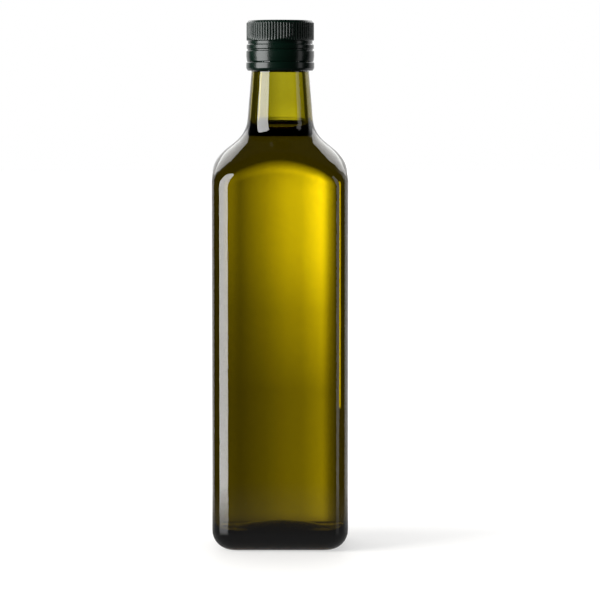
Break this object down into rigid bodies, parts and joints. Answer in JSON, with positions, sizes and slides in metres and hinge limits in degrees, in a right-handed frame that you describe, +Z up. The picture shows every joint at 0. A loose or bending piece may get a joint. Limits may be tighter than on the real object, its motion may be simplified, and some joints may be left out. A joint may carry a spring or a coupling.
{
  "type": "olive oil bottle",
  "caption": "Square dark green glass bottle with a round neck, filled with olive oil and shut by a ribbed dark green screw cap with a tamper ring.",
  "frame": {"origin": "middle of the base, on the surface the bottle stands on", "axes": "+Z up through the neck; the four flats of the body face +X, -X, +Y and -Y, and the pictured flat faces -Y"},
  "size_m": [0.063, 0.063, 0.245],
  "materials": {
    "bottle_glass": "clear dark green bottle glass, smooth",
    "oil": "clear green-gold liquid",
    "cap": "gloss dark green lacquer"
  },
  "bodies": {
    "root": {"glass_bottle": "bottle_glass", "olive_oil": "oil", "screw_cap": "cap", "tamper_ring": "cap"}
  },
  "joints": []
}
